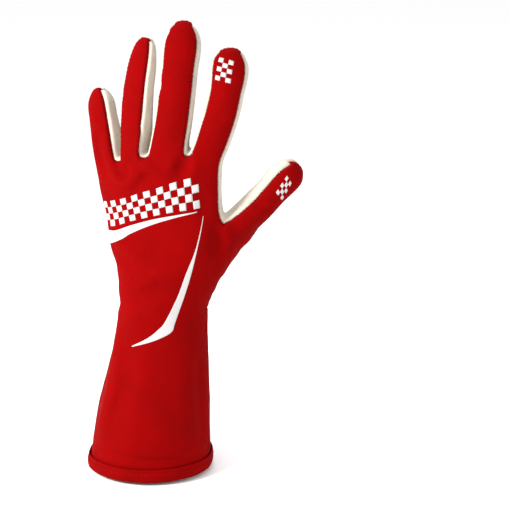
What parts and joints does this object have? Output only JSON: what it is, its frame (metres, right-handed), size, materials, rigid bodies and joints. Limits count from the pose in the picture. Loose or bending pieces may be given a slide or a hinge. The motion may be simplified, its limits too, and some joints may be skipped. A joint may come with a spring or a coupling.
{
  "type": "racing glove",
  "caption": "Long-cuffed racing glove for the left hand in its worn shape: red knit back and cuff, cream suede palm, open at the cuff for the hand.",
  "frame": {"origin": "centre of the cuff's mouth, where the hand goes in", "axes": "+Z from the cuff's mouth to the fingertips, -Y out of the back of the hand, +Y out of the palm, +X to the thumb's side"},
  "size_m": [0.1635, 0.0881, 0.3398],
  "materials": {
    "red_knit": "matte knit",
    "cream_suede": "matte suede",
    "black_silicone": "satin"
  },
  "bodies": {
    "root": {"back": "red_knit", "cuff_front": "red_knit", "hem_band": "red_knit", "palm": "cream_suede", "fourchette_little_ring": "cream_suede", "fourchette_ring_middle": "cream_suede", "fourchette_middle_index": "cream_suede", "grip_pad_lower": "black_silicone", "grip_pad_upper": "black_silicone"}
  },
  "joints": []
}
